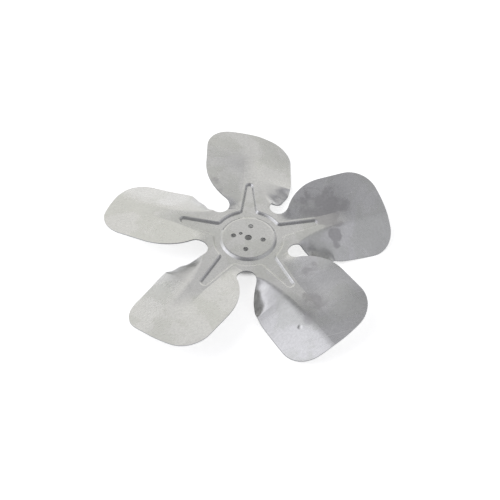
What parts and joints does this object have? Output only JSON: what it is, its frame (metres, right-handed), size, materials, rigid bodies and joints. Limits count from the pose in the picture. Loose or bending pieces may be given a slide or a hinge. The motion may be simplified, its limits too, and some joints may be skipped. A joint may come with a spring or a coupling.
{
  "type": "axial fan impeller",
  "caption": "Pressed sheet axial fan impeller: broad twisted blades around a flat drilled hub disc with a star-shaped stiffening recess, for a small refrigeration or ventilation fan.",
  "frame": {"origin": "on the hub axis, in the plane of the hub disc's front face", "axes": "+Z along the hub axis, out of the side where the star recess is hollow and the leading edges rise; +X along one arm of the star"},
  "size_m": [0.2388, 0.2474, 0.026],
  "materials": {
    "sheet": "rolled mill finish, semi-bright, faintly smudged"
  },
  "bodies": {
    "root": {"impeller": "sheet"}
  },
  "joints": []
}
